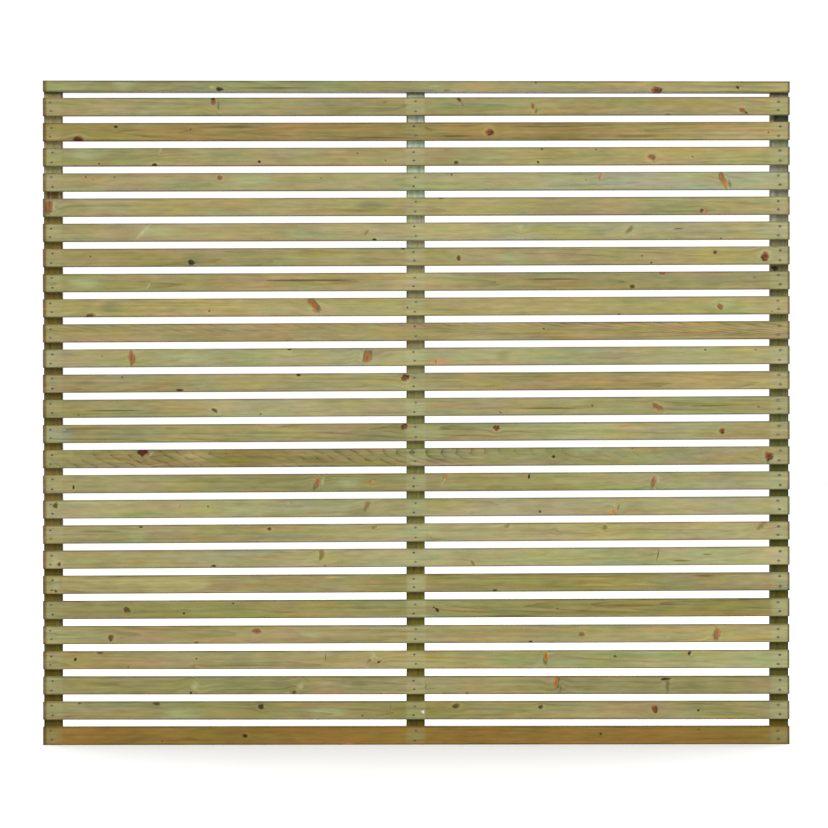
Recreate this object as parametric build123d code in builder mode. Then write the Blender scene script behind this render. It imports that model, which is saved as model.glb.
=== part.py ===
from build123d import *
import math
import os

# Slatted garden fence panel: horizontal softwood slats nailed across three upright battens, under a flat cap.
# It stands with its width along X, its slats facing -Y and its height along Z.
# The origin is in the middle of the panel's underside.

# Driving dimensions of the whole panel, in millimetres
panel_width = 1800
panel_height = 1600

# Slats, counted from the top, with edges rounded in front and bevelled behind
slat_height = 44
slat_thickness = 16
slat_gap = 16.5
slat_edge_radius = 3
slat_edge_bevel = 2

# Cap rail, lying flat on the battens and flush with the slats in front and the battens behind
cap_thickness = 27
cap_edge_radius = 3
cap_gap = 15

# Upright battens, all three alike, with the middle one nailed on a little left of the panel's middle
batten_width = 44
batten_thickness = 28
batten_edge_radius = 2
end_batten_inset = 1
centre_batten_offset = -2.5

# Flat-wire brads that hold the slats, two at each crossing, each a little off its line as driven by hand
brad_width = 3
brad_height = 2
brad_edge_distance = 11
brad_line_offset = -2.5
wood_behind_brad = 4
wander_across = 3
wander_up = 1.5
wander_turn = 137.5

# Brads down through the cap into the batten tops
cap_brad_grip = 35
cap_brad_spacing = 22

# The left ends of the slats are evenly spaced, but the right ends have crept up during assembly
level_slats = 3
greatest_rise = 9.5
rise_per_slat_from_bottom = 2
rise_of_top_slat = 4.5
rise_per_slat_from_top = 0.5

# Heights and depths that follow from the dimensions above
batten_top = panel_height - cap_thickness
panel_depth = slat_thickness + batten_thickness
batten_front = slat_thickness - panel_depth / 2
batten_middle = batten_front + batten_thickness / 2
brad_length = panel_depth - wood_behind_brad
cap_brad_length = cap_thickness + cap_brad_grip

# As many slats as fit at about the wanted gap, spread evenly from the panel's foot to the gap under the cap
slat_run = batten_top - cap_gap
slat_count = round((slat_run + slat_gap) / (slat_height + slat_gap))
slat_pitch = (slat_run - slat_height) / (slat_count - 1)
slat_numbers = range(1, slat_count + 1)

# Centre lines of the battens across the panel
end_batten_centre = panel_width / 2 - end_batten_inset - batten_width / 2
batten_centres = {"left": -end_batten_centre, "centre": centre_batten_offset, "right": end_batten_centre}


def right_end_rise(number):
    """How far a slat's right end stands above its left end: the lowest are level, those above creep up."""
    slats_above_level = max(0, slat_count - number - level_slats + 1)
    from_bottom = rise_per_slat_from_bottom * slats_above_level
    from_top = rise_of_top_slat + rise_per_slat_from_top * (number - 1)
    return min(greatest_rise, from_bottom, from_top)


def slat_back(number):
    """Plane of a slat's back face: origin at the slat's middle, x along the slat, z out to the front."""
    rise = right_end_rise(number)
    left_end_middle = slat_pitch * (slat_count - number) + slat_height / 2
    middle = (0, batten_front, left_end_middle + rise / 2)
    return Plane(origin=middle, x_dir=(panel_width, 0, rise), z_dir=(0, -1, 0))


def slat_front(number):
    """Plane of a slat's front face, where its brads are driven in."""
    return slat_back(number).offset(slat_thickness)


def brad_points(number, batten_centre):
    """Places, on a slat's front face, of the two brads that hold it to one batten."""
    row_height = slat_height / 2 - brad_edge_distance
    points = []
    for row in (1, -1):
        turn = math.radians(wander_turn * (2 * number + row) + batten_centre)
        across = batten_centre + brad_line_offset + wander_across * math.sin(turn)
        up = row * row_height + wander_up * math.cos(turn)
        points.append((across, up))
    return points


def finish(piece, label):
    """Names a finished piece and writes it to its own file."""
    piece.part.label = label
    export_step(piece.part, f"parts/{label}.step")


os.makedirs("parts", exist_ok=True)

# Slats, each with a pair of brad holes at every batten
for number in slat_numbers:
    with BuildPart() as slat:
        with BuildSketch(slat_back(number)):
            Rectangle(panel_width, slat_height)
        extrude(amount=slat_thickness)
        front, back = slat.faces().filter_by(Axis.Y).sort_by(Axis.Y)
        fillet(front.edges().group_by(SortBy.LENGTH)[-1], slat_edge_radius)
        chamfer(back.edges().group_by(SortBy.LENGTH)[-1], slat_edge_bevel)
        with BuildSketch(slat_front(number)):
            for batten_centre in batten_centres.values():
                with Locations(*brad_points(number, batten_centre)):
                    Rectangle(brad_width, brad_height)
        extrude(amount=-slat_thickness, mode=Mode.SUBTRACT)
    finish(slat, f"slat_{number:02d}")

# Battens, with a blind hole for each brad in front and two at the top
for side, batten_centre in batten_centres.items():
    foot = Plane((batten_centre, batten_middle, 0))
    with BuildPart() as batten:
        with BuildSketch(foot):
            Rectangle(batten_width, batten_thickness)
        extrude(amount=batten_top)
        fillet(batten.edges().filter_by(Axis.Z), batten_edge_radius)
        for number in slat_numbers:
            with BuildSketch(slat_front(number)):
                with Locations(*brad_points(number, batten_centre)):
                    Rectangle(brad_width, brad_height)
        extrude(amount=-brad_length, mode=Mode.SUBTRACT)
        with BuildSketch(foot.offset(panel_height)):
            with GridLocations(cap_brad_spacing, 0, 2, 1):
                Rectangle(brad_width, brad_height)
        extrude(amount=-cap_brad_length, mode=Mode.SUBTRACT)
    finish(batten, f"batten_{side}")

# Brads of one batten, from the front faces of the slats into the batten
for side, batten_centre in batten_centres.items():
    with BuildPart() as slat_brads:
        for number in slat_numbers:
            with BuildSketch(slat_front(number)):
                with Locations(*brad_points(number, batten_centre)):
                    Rectangle(brad_width, brad_height)
        extrude(amount=-brad_length)
    finish(slat_brads, f"slat_brads_{side}")

# Cap rail on the batten tops
cap_top = Plane.XY.offset(panel_height)
cap_brad_points = [(centre, batten_middle) for centre in batten_centres.values()]

with BuildPart() as cap_rail:
    with BuildSketch(cap_top):
        Rectangle(panel_width, panel_depth)
    extrude(amount=-cap_thickness)
    fillet(cap_rail.edges().filter_by(Axis.X), cap_edge_radius)
    with BuildSketch(cap_top):
        with Locations(*cap_brad_points):
            with GridLocations(cap_brad_spacing, 0, 2, 1):
                Rectangle(brad_width, brad_height)
    extrude(amount=-cap_thickness, mode=Mode.SUBTRACT)
finish(cap_rail, "cap_rail")

# Brads that hold the cap
with BuildPart() as cap_brads:
    with BuildSketch(cap_top):
        with Locations(*cap_brad_points):
            with GridLocations(cap_brad_spacing, 0, 2, 1):
                Rectangle(brad_width, brad_height)
    extrude(amount=-cap_brad_length)
finish(cap_brads, "cap_brads")
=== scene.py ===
import math
from collections import namedtuple

import bpy
import numpy as np
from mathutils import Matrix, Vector


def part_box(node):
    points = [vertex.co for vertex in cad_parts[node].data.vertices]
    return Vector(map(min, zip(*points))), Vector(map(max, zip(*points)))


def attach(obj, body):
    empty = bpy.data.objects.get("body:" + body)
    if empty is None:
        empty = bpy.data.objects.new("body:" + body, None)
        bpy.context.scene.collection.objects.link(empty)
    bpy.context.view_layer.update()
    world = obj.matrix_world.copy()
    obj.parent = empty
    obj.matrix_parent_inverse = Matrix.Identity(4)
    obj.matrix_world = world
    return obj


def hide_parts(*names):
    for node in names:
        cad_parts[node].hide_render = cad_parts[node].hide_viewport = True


# Looks of the slatted fence panel: planed, pressure-treated softwood with knots, held by sunk nails.
# Everything is in metres in the frame's own axes: width along X, slats facing -Y, height along Z.

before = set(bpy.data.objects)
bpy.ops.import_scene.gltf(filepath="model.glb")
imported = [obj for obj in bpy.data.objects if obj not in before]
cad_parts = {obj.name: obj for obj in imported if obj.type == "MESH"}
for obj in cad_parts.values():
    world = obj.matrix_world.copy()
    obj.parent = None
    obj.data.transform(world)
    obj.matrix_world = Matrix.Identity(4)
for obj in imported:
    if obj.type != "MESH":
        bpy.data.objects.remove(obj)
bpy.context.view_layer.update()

millimetre = 0.001
right = Vector((1, 0, 0))
forward = Vector((0, -1, 0))
upward = Vector((0, 0, 1))

# Timber edges and ends
slat_edge_radius = 3 * millimetre
slat_back_bevel = 2 * millimetre
cap_edge_radius = 3 * millimetre
batten_edge_radius = 2 * millimetre
end_rounding = 0.8 * millimetre
edge_wear_reach = 3 * millimetre
left_end_wear = 11 * millimetre
right_end_wear = 7 * millimetre

# How finely a board's faces are divided
front_line_spacing = 1.6 * millimetre
other_line_spacing = 4 * millimetre
ring_spacing_along = 60 * millimetre
least_ring_spacing = 0.5 * millimetre
rounding_steps = 4
widest_smooth_step = 1.05 * front_line_spacing
front_tolerance = 1e-6

# Rings set close together, in half widths from the middle of a dent and half lengths from that of a mark
dent_ring_reach = 1.3
mark_ring_shares = (-2.4, -1.6, -1.1, -0.7, -0.35, 0, 0.35, 0.7, 1.1, 1.6, 2.4)

# Layout of a board's bake map: its rows fill most of the square, and its two ends lie side by side above them
bake_margin = 0.004
bake_rows_share = 0.94
end_map_left = 0.02
end_map_step = 0.2
end_map_width = 0.1
end_map_foot = 0.955
end_map_height = 0.036

# Nails: an oval head at the bottom of a dent, on the shank of the frame's own brad.
# The head's profile is in shares of its half sizes and of its thickness, from the middle of its top down.
brad_width = 3 * millimetre
brad_height = 2 * millimetre
head_half_width = 2.2 * millimetre
head_half_height = 1.3 * millimetre
head_thickness = 0.9 * millimetre
head_sink = 0.9 * millimetre
head_segments = 14
head_profile = [(0.45, 0.0), (0.85, -0.08), (1.0, -0.3), (1.0, -1.0)]
shank_top_share = 0.8
least_nail_spacing = 5 * millimetre
head_tolerance = 1e-5
dent_half_width = 2.9 * millimetre
dent_half_height = 2.0 * millimetre
dent_depth = 1.7 * millimetre
dent_line_spacing = 0.8 * millimetre
dent_steepness = 2.2
# Dark colour round a nail, in half sizes of its dent: where it ends and where it is full. Round the dent it
# is rust stain, inside it also painted shade.
stain_and_shade_reach = 1.7
full_stain_and_shade_reach = 0.5
dent_sizes = {"left": 1.0, "centre": 1.0, "right": 1.3}

# Brightness of the nails, which differs from one to the next between bare zinc and rust, with those of the
# right batten painted brighter as glints of sky light, most of all about half way up
nail_brightness = 0.15
nail_difference = 0.15
nail_turn = 2.4
right_nails_glint = 0.25
midway_glint = 0.6
midway_glint_from = 0.45
midway_glint_to = 0.7
cap_nail_brightness = 0.3

# Wood tones seen on the panel, as screen colours from 0 to 255
tones = {
    "khaki": (160, 150, 104),
    "straw": (169, 157, 105),
    "pale": (174, 164, 117),
    "sage": (164, 158, 113),
    "celadon": (163, 163, 114),
    "moss": (154, 152, 101),
    "olive": (149, 142, 94),
    "bronze": (145, 136, 83),
    "tan": (160, 145, 98),
    "honey": (154, 135, 83),
    "oak": (136, 122, 76),
    "umber": (140, 112, 55),
    "lichen": (148, 147, 98),
    "mist": (164, 164, 126),
    "ash": (139, 147, 133),
    "slate": (127, 131, 115),
    "pewter": (110, 110, 92),
    "moor": (108, 105, 74),
    "fen": (92, 92, 53),
    "heath": (88, 85, 54),
    "clay": (116, 110, 80),
    "loam": (94, 81, 44),
    "peat": (81, 70, 33),
    "mire": (80, 75, 30),
    "turf": (71, 61, 23),
    "sump": (65, 63, 28),
}

# Kinds of grain: strength from left to right, how deep the log's pith lay behind the board and how far
# above its middle line, how fast it ran away from the board, in millimetres per metre, and the width
# of a yearly ring
grain_kinds = {
    "calm": ((0.50, 0.50), 42, 4, 7, 3.6),
    "plain": ((0.70, 0.70), 34, -5, 10, 3.6),
    "lively": ((1.00, 1.00), 30, 6, -14, 3.6),
    "fanned": ((0.80, 0.80, 0.90, 1.50, 1.60), 110, 33, -30, 1.5),
    "arched": ((0.60, 1.20, 1.30, 1.40, 1.50, 1.10, 0.40, 0.40, 0.40, 0.50), 183, 33, -60, 2.3),
}

# Kinds of knot: half length and half height in millimetres, tilt in degrees, colour of the core and
# strength of the dark parts
knot_kinds = {
    "pin": (2.5, 2.0, 0, (86, 66, 36), 0.35),
    "rust": (2.0, 1.6, 0, (140, 66, 44), 0.2),
    "dot": (4.2, 3.2, 10, (70, 52, 28), 0.8),
    "brown": (6.0, 4.4, 20, (112, 86, 46), 0.75),
    "red": (6.5, 5.2, -15, (156, 98, 66), 0.5),
    "garnet": (6.5, 5.5, 0, (140, 82, 50), 0.8),
    "round": (8.5, 8.0, 0, (140, 84, 52), 0.9),
    "cut": (11.0, 9.0, 0, (106, 38, 20), 0.9),
    "slash": (13.0, 5.5, -45, (164, 104, 64), 0.5),
    "spike": (15.0, 7.0, 82, (166, 112, 72), 0.45),
    "branch": (19.0, 5.5, -74, (180, 124, 62), 0.5),
    "ember": (6.0, 4.5, 30, (198, 138, 90), 0.35),
    "soft": (11.0, 6.0, 75, (138, 110, 66), 0.3),
    "sliver": (14.0, 1.7, 86, (104, 74, 46), 0.2),
    "dash": (14.0, 1.4, 0, (84, 68, 42), 0.3),
    "smear": (12.0, 2.8, 86, (110, 104, 60), 0.15),
    "smudge": (8.0, 4.5, 25, (126, 112, 66), 0.2),
    "haze": (9.0, 5.0, 30, (180, 176, 128), 0.0),
    "pale": (30.0, 5.0, 40, (198, 194, 152), 0.0),
    "bark": (9.0, 5.5, 5, (66, 52, 26), 0.7),
}

# Kinds of streak: half height in millimetres, colour and strength
streak_kinds = {
    "ember": (3.4, (190, 130, 86), 0.75),
    "rose": (3.2, (186, 140, 102), 0.8),
    "blush": (5.0, (178, 147, 109), 0.75),
    "gold": (4.0, (186, 158, 84), 0.65),
    "shade": (3.6, (114, 102, 58), 0.75),
    "seam": (2.6, (104, 92, 52), 1.4),
    "glow": (12.0, (200, 148, 104), 0.9),
    "frost": (30.0, (172, 174, 134), 0.35),
    "lilac": (30.0, (146, 148, 122), 0.8),
    "fir": (17.0, (132, 132, 86), 0.6),
    "sand": (17.0, (178, 158, 114), 0.6),
    "mint": (17.0, (164, 170, 122), 0.6),
    "chalk": (30.0, (168, 158, 106), 6.0),
    # painted shade: a near-black and a dark brown patch, each laid over one gap between slats where shade
    # falls on a batten
    "black_gap_shade": (26.0, (24, 16, 4), 1.6),
    "brown_gap_shade": (26.0, (108, 86, 44), 1.0),
    # painted highlight: a pale band of sky light along one side of a batten
    "painted_highlight": (9.0, (210, 210, 200), 0.8),
    # painted reflection: a pale grey band of sky light along the cap rail's lower edge and shaded underside
    "sky_reflection": (3.4, (196, 186, 176), 2.0),
}

# How bright a white surface that faces the camera looks under the scene's light, in red, green and blue
light_level = (2.13, 2.12, 2.18)
screen_gamma = 2.2

# Share of that light that reaches a batten between two slats
gap_light = 0.37

# How pale a slat has turned where each batten lies behind it, and the slats where that hardly shows
crossing_paleness = {"left": 0.22, "centre": 0.36, "right": 0.36}
faint_crossing_slats = (2, 10, 26)
faint_crossing_share = 0.33

# How boards and knots differ from their kinds, by sines of their numbers and places, so that no two are alike
board_turn = 2.4
pith_height_change = 5
pith_depth_change = 0.3
pith_depth_turn = 1.9
knot_size_change = 0.12
knot_size_turn_along = 12.9
knot_size_turn_across = 7.1
knot_tilt_change = 6
knot_tilt_turn = 3.7

# Spacing of the boards along one long log, in metres, so that no two show the same stretch of grain
log_spacing = 7.0

# Share of a board's length at each end that has the end's tone throughout
tone_margin = 0.04

# Distances that stand for none: in metres from a batten, and in half sizes from a knot or streak
far_from_crossing = 1.0
far_from_marks = 99.0


def linear(colour):
    """Linear colour of a surface that has the given screen colour, from 0 to 255, in the scene's light."""
    return tuple((channel / 255) ** screen_gamma / level for channel, level in zip(colour, light_level))


# Looks of the slats from the top: tones from left to right, kind of grain, knots and streaks.
# A knot is given by its place from the left end and above the middle line, in millimetres, and its kind,
# and where it isn't like its kind also by its own half length, half height and tilt.
# A streak is given by where it starts and ends, its height above the middle line, and its kind.
slat_looks = [
    ("khaki khaki olive khaki straw", "plain",
     [(410, 18, "dot"), (411, 11, "red", 5, 7, 0), (423, 3, "smear"), (824, 10, "smudge", 5, 2.5, 10),
      (1003, 16, "brown", 6, 4, -35), (1010, 6, "smear", 9, 2.5, -65), (1179, -1, "spike", 8, 3.6, 95),
      (1187, -12, "smear", 7, 3.4, 80), (1506, -20, "smudge", 7, 3, 0), (1684, -9, "red"),
      (1694, -15, "brown", 5, 2.6, -25)],
     [(83, 213, 0, "sand"), (398, 1003, 20, "rose"), (958, 1126, 19, "ember")]),
    ("honey honey honey honey straw", "lively",
     [(87, -20, "cut"), (177, 13, "dot", 4, 3, 0), (355, 7, "pin"), (928, 6, "smudge", 8, 3, -20),
      (1074, -1, "round", 10, 10, 0), (1749, -4, "pin")],
     [(396, 523, 12, "shade"), (555, 693, 18, "ember"), (703, 893, -16, "shade"),
      (960, 1032, -11, "shade"), (1379, 1483, -13, "shade"), (1490, 1749, 8, "ember"),
      (1603, 1783, 2, "rose")]),
    ("olive khaki khaki straw straw", "calm",
     [(78, -21, "pin"), (135, -16, "pin"), (269, -18, "dot", 7, 3, 0), (283, 16, "haze", 8, 3, 70),
      (521, -12, "dot", 3.5, 3, 0), (757, 8, "pin"), (825, -9, "pin"), (970, 15, "rust"),
      (995, -14, "brown"), (1192, -14, "dot", 3, 2.6, 0), (1202, 17, "pin"), (1333, 16, "pin"),
      (1466, -3, "red", 8.5, 6.5, -40), (1565, -2, "pin", 4, 1.8, -10)],
     [(43, 163, 4, "mint"), (88, 603, -16, "blush"), (623, 863, -19, "rose"), (963, 1203, -18, "rose"),
      (1748, 1812, 0, "frost")]),
    ("khaki khaki sage mist mist", "calm",
     [(104, 13, "pin"), (120, 7, "rust"), (173, 13, "pin"), (426, 9, "red", 6, 7, 10), (670, 9, "pin"),
      (984, 17, "pin"), (1308, 3, "pin"), (1345, 14, "ember", 9, 3, 60), (1639, 1, "branch"),
      (1655, -8, "smear", 10, 4, -70)],
     [(53, 193, 9, "ember"), (178, 403, 20, "rose"), (443, 563, 4, "mint"), (1003, 1263, 0, "sand")]),
    ("khaki straw straw khaki straw", "plain",
     [(16, 3, "red", 15, 9, 86), (27, 4, "haze", 12, 5, 86), (958, 19, "pin", 5, 1.5, 0),
      (1586, -12, "garnet", 5.5, 4.5, 0), (1595, -13, "ember", 5, 3.5, 0)],
     [(743, 833, 2, "fir")]),
    ("khaki khaki pale sage pale", "calm",
     [(240, -1, "pale"), (778, -2, "smudge", 8, 3, 50), (798, -18, "dot", 6, 2.5, 0), (1150, 9, "haze"),
      (1413, 4, "smudge", 14, 6, 45), (1532, 5, "dash"), (1634, -18, "pin")],
     [(93, 203, 2, "sand"), (205, 333, 3, "mint"), (583, 643, -4, "mint"), (1093, 1333, -2, "gold")]),
    ("tan olive khaki khaki straw", "plain",
     [(115, 3, "pin"), (356, -13, "bark", 6, 5.5, 0), (864, 20, "garnet", 6, 4, 0),
      (1001, -2, "garnet", 6, 6, -40), (1443, 0, "pin"), (1466, -17, "dot", 3, 2, 0),
      (1619, 9, "brown", 4, 3.4, 0), (1741, -1, "round", 9, 9, 0)],
     [(153, 488, 15, "rose"), (333, 403, 4, "fir"), (1083, 1173, 0, "mint")]),
    ("olive tan straw olive khaki", "plain",
     [(116, -9, "haze", 9, 2, 0), (254, -8, "haze", 10, 3, 60), (1420, -13, "brown", 8, 5, 0),
      (1491, 18, "red", 7, 4.5, 10), (1714, 7, "rust", 4, 2, 10)],
     [(53, 153, 0, "mint"), (473, 543, 0, "sand"), (523, 763, 4, "seam"), (1151, 1318, 5, "seam")]),
    ("straw", "plain",
     [(116, -18, "brown", 12, 5, 0), (400, -8, "pin"), (652, 4, "slash", 17, 8, -52), (877, -2, "pin"),
      (1388, -20, "pin"), (1632, -2, "slash", 9, 5, -40), (1757, -15, "rust")],
     [(133, 203, 4, "fir"), (1603, 1683, 4, "mint")]),
    ("tan", "fanned",
     [(1206, 6, "pin")],
     [(49, 336, -15, "blush"), (1423, 1563, 5, "ember"), (1383, 1463, 16, "rose"),
      (1483, 1703, -6, "rose")]),
    ("khaki sage sage sage sage", "calm",
     [(143, 5, "rust"), (214, 1, "spike", 16, 7.5, 88), (593, 19, "dot", 5, 2.5, 0),
      (595, 13, "haze", 7, 4, 0), (781, -1, "spike", 14, 9, 80), (767, 2, "haze", 12, 4, 85),
      (946, -11, "sliver", 7, 1.7, 90), (1596, 13, "pin"), (1718, 13, "rust", 4, 2, 0)],
     [(908, 1000, -11, "glow"), (1083, 1133, 0, "fir"), (243, 423, 0, "mint"), (-12, 50, 0, "frost"),
      (1750, 1812, 0, "frost")]),
    ("tan khaki khaki tan straw", "plain",
     [(191, 15, "pin"), (331, -17, "dot", 7, 2.4, 0), (615, 19, "dot", 5, 3, 0),
      (872, 9, "round", 8, 8, 0)],
     [(922, 1040, -17, "gold"), (1132, 1503, 0, "rose"), (1403, 1783, 2, "rose")]),
    ("olive sage khaki khaki moss", "plain",
     [(86, -15, "pin"), (413, -4, "brown", 8, 4, -35), (524, -14, "pin"),
      (1101, -14, "pin", 5, 1.6, -40), (1323, 1, "pin"), (1481, -4, "slash", 12, 5, -38),
      (1724, -4, "rust", 4, 2.2, 0)],
     [(80, 253, -5, "seam"), (1132, 1318, -5, "seam"), (1503, 1668, -1, "seam"), (1483, 1603, 2, "fir"),
      (862, 932, 0, "mint")]),
    ("olive khaki olive sage khaki", "lively",
     [(871, 12, "round", 8, 8, 0), (1092, 8, "garnet"), (1635, 0, "garnet", 7, 7, 0)],
     [(-10, 92, 0, "lilac"), (360, 519, 5, "rose"), (870, 990, 0, "mint"), (1378, 1428, 12, "ember")]),
    ("olive oak olive lichen khaki", "arched",
     [(243, 18, "cut"), (259, 10, "haze", 10, 4, 40), (1229, 0, "dot"), (1420, 19, "pin"),
      (1749, -2, "round", 12, 11, 0)],
     [(303, 423, 4, "sand"), (1273, 1343, 16, "mint")]),
    ("khaki olive olive moss sage", "plain",
     [(74, -8, "dot", 5, 2.6, 80), (658, -1, "spike", 15, 8, 76), (673, 3, "haze", 14, 4, 76),
      (793, 3, "ember"), (893, -7, "rust"), (902, -7, "rust"), (973, 14, "ember", 8, 4.5, 35),
      (965, 2, "haze", 12, 2.5, 55), (1171, 15, "dot", 6, 2.4, 88), (1470, -1, "spike", 16, 6.5, 80),
      (1483, 4, "haze", 13, 4, 84)],
     [(757, 789, 2, "ember"), (1145, 1169, 13, "ember"), (693, 783, 0, "mint"), (1728, 1812, 0, "frost")]),
    ("sage", "calm",
     [(31, 11, "brown", 6, 6, 0), (328, 6, "ember", 5, 2.6, 70), (397, 5, "pin", 3, 3, 0),
      (591, 12, "haze", 6, 2.5, 40), (781, 6, "soft", 11, 6, 65), (1021, -12, "haze", 8, 2, 88),
      (1197, -12, "pin", 3, 3.5, 0), (1373, -14, "ember", 9, 7.5, 70), (1377, 6, "haze", 10, 3.5, 80),
      (1387, 0, "smear", 10, 2.6, 80)],
     [(723, 803, -10, "fir"), (866, 928, 0, "mint"), (1752, 1812, 0, "frost")]),
    ("khaki khaki sage straw pale", "plain",
     [(236, 18, "dot", 6, 2.4, 0), (545, 12, "brown", 5, 4, 0), (797, 13, "smudge", 8, 4, 30),
      (1117, 14, "smudge", 6, 4, 30), (1245, 9, "haze", 8, 4, 30), (1353, 10, "smudge", 6, 6, 60),
      (1733, 11, "smudge", 13, 7, 40)],
     [(63, 203, 8, "shade"), (983, 1153, -15, "blush"), (1423, 1730, -17, "blush"),
      (203, 253, -4, "mint"), (1752, 1812, 0, "frost")]),
    ("khaki sage pale celadon pale", "calm",
     [(40, -10, "brown", 5, 5, 0), (410, -17, "dot", 6, 2.6, 0), (672, 12, "soft", 12, 6, 80),
      (679, -18, "pin"), (1035, -13, "smudge", 7, 4, -60), (1482, 3, "sliver", 16, 2, 85),
      (1603, 4, "smudge", 14, 2.5, 0)],
     [(1513, 1563, -10, "shade"), (18, 44, 4, "frost"), (884, 980, 0, "mint"), (1752, 1812, 0, "frost")]),
    ("bronze khaki bronze bronze khaki", "lively",
     [(31, -14, "brown", 4, 4, 0), (1089, -18, "dot", 5, 2.5, 0)],
     [(43, 399, 6, "chalk"), (672, 715, 15, "gold"), (1203, 1443, 9, "gold"), (1253, 1503, -6, "gold"),
      (1563, 1623, 14, "shade"), (1707, 1793, -12, "ember"), (20, 44, 4, "frost"),
      (866, 930, 3, "frost"), (1752, 1812, 4, "frost")]),
    ("olive bronze olive bronze bronze", "lively",
     [(201, -1, "brown", 7, 7, 0), (339, -8, "dot", 3, 3, 0), (458, 15, "pin"),
      (949, -2, "dot", 5, 3, -40), (941, 3, "pin"), (1239, -1, "pin")],
     [(526, 643, -7, "shade"), (733, 803, 8, "fir"), (1056, 1203, -18, "shade"),
      (1313, 1533, 5, "shade"), (1750, 1812, 0, "frost")]),
    ("khaki tan khaki khaki straw", "plain",
     [(164, -6, "brown", 8, 7, 30), (513, 8, "red", 8, 6, 10), (370, -18, "pin", 4, 1.6, 0),
      (1174, -18, "dot", 5, 2, 0), (1300, 0, "red", 7, 5, 10), (1506, -9, "haze", 7, 4, 0),
      (1625, 1, "spike", 14, 8, 82)],
     [(243, 333, -10, "blush"), (603, 693, 2, "mint")]),
    ("tan khaki straw moss celadon", "plain",
     [(79, 2, "dot", 4, 4, 0), (135, 19, "brown", 10, 3, 0), (205, -16, "pin"), (370, 4, "pin"),
      (370, -17, "ember", 6, 4, 0), (680, 5, "sliver", 11, 1.5, 88), (787, -1, "smudge"),
      (795, 8, "haze", 14, 7, 50), (809, -6, "dot", 3.4, 2.6, 0), (1211, 6, "branch", 14, 5, 85),
      (1378, 8, "pin", 3.4, 3, 0), (1558, 14, "dot", 5, 3.4, 80)],
     [(133, 333, -4, "blush"), (398, 443, -4, "blush"), (1529, 1583, 15, "ember"),
      (1563, 1603, -2, "mint"), (1750, 1812, 0, "frost")]),
    ("olive olive khaki olive olive", "plain",
     [(356, -17, "dot", 4, 3.4, 0), (366, -2, "haze", 15, 9, 60), (605, -17, "garnet", 5, 4, 0),
      (620, -2, "haze", 15, 9, 50), (814, -21, "pin"), (922, -4, "smear", 6, 2, 86),
      (1022, -18, "rust", 5, 2.4, 0), (1236, 8, "branch", 15, 8.5, -82), (1247, -10, "smear", 12, 4, 86),
      (1502, 15, "bark", 13, 3.2, 0), (1505, 2, "smear", 16, 4.5, 84)],
     [(123, 183, 12, "fir"), (533, 603, 4, "fir"), (613, 723, 0, "sand"), (643, 733, -17, "rose"),
      (733, 783, 4, "fir"), (1503, 1603, -2, "fir"), (1003, 1053, -8, "blush"), (1752, 1812, 0, "frost")]),
    ("olive olive bronze khaki olive", "plain",
     [(89, 18, "pin", 4, 2, 0), (275, 18, "brown", 9, 4.5, 0), (525, 8, "bark", 6.5, 6.5, 0),
      (769, -12, "pin"), (837, 8, "sliver", 7, 1.2, 88), (996, 12, "brown", 9, 6, 10),
      (1200, 9, "brown", 6, 5, 0), (1473, 3, "garnet", 8.5, 9, 0), (1579, 0, "dot", 3.6, 3.4, 0)],
     [(263, 403, -8, "mint"), (623, 743, -4, "mint"), (1546, 1719, -16, "gold")]),
    ("umber", "plain",
     [(287, -13, "pin"), (487, 0, "bark", 6.5, 5, 0), (1344, 3, "dot", 3.4, 3, 0), (1580, 14, "pin")],
     [(-12, 52, 0, "fir"), (718, 753, -20, "ember"), (868, 928, 0, "fir"), (1736, 1814, 0, "fir")]),
]

# Looks of the cap rail, whose front edge shows, and of the battens, which are given from the foot up.
# Of the battens only what lies between the slats shows, so most of their knots are guessed.
# The battens' tones, dark olive at the foot and pale blue-grey at the top, and darker on the right batten
# than on the left, are partly the wood's own colour and partly painted light: painted shade low down and on
# the right batten, painted sky light high up.
cap_look = (
    "lichen lichen lichen khaki straw straw", "plain",
    [(424, -7, "bark", 8.5, 6, 0), (407, -2, "haze", 10, 4, 0), (972, -9, "smudge", 9, 3, 0),
     (943, 1, "haze", 16, 3, -10), (1186, 10, "pin"), (1299, 3, "rust"), (1477, -8, "round", 11.5, 7, 0),
     (1673, -2, "dot", 4, 3, -30)],
    [(1713, 1800, 12, "ember"), (163, 233, 4, "mint"), (463, 643, -4, "shade"),
     # The full-length pale streak along the lower edge and underside is a painted reflection of sky light.
     (983, 1103, 4, "rose"), (0, 1800, -14, "sky_reflection")],
)
batten_looks = {
    "left": ("turf turf peat turf loam loam peat peat peat peat loam clay clay", "lively",
             # The streak in the gap between the fourth and fifth slats from the top is painted shade.
             [(330, 8, "round"), (760, -9, "red"), (1228, 4, "brown")], [(1306, 1342, 0, "brown_gap_shade")]),
    "centre": ("turf mire mire mire fen fen fen moor moor moor slate ash ash", "lively",
               [(205, -6, "brown"), (930, 10, "round"), (1340, -3, "dot")], []),
    "right": ("turf sump sump sump sump sump heath heath heath heath pewter pewter pewter", "lively",
              [(455, -10, "red"), (1150, 9, "bark", 5, 7, 0), (1420, 0, "dot")],
              # The near-black streak in the gap between the top two slats is painted shade.
              # The pale streak from 1190 to 1490 mm, on the batten's left side, is a painted highlight of sky
              # light.
              [(1494, 1526, 0, "black_gap_shade"), (1190, 1490, 15, "painted_highlight")]),
}


# Boards

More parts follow.
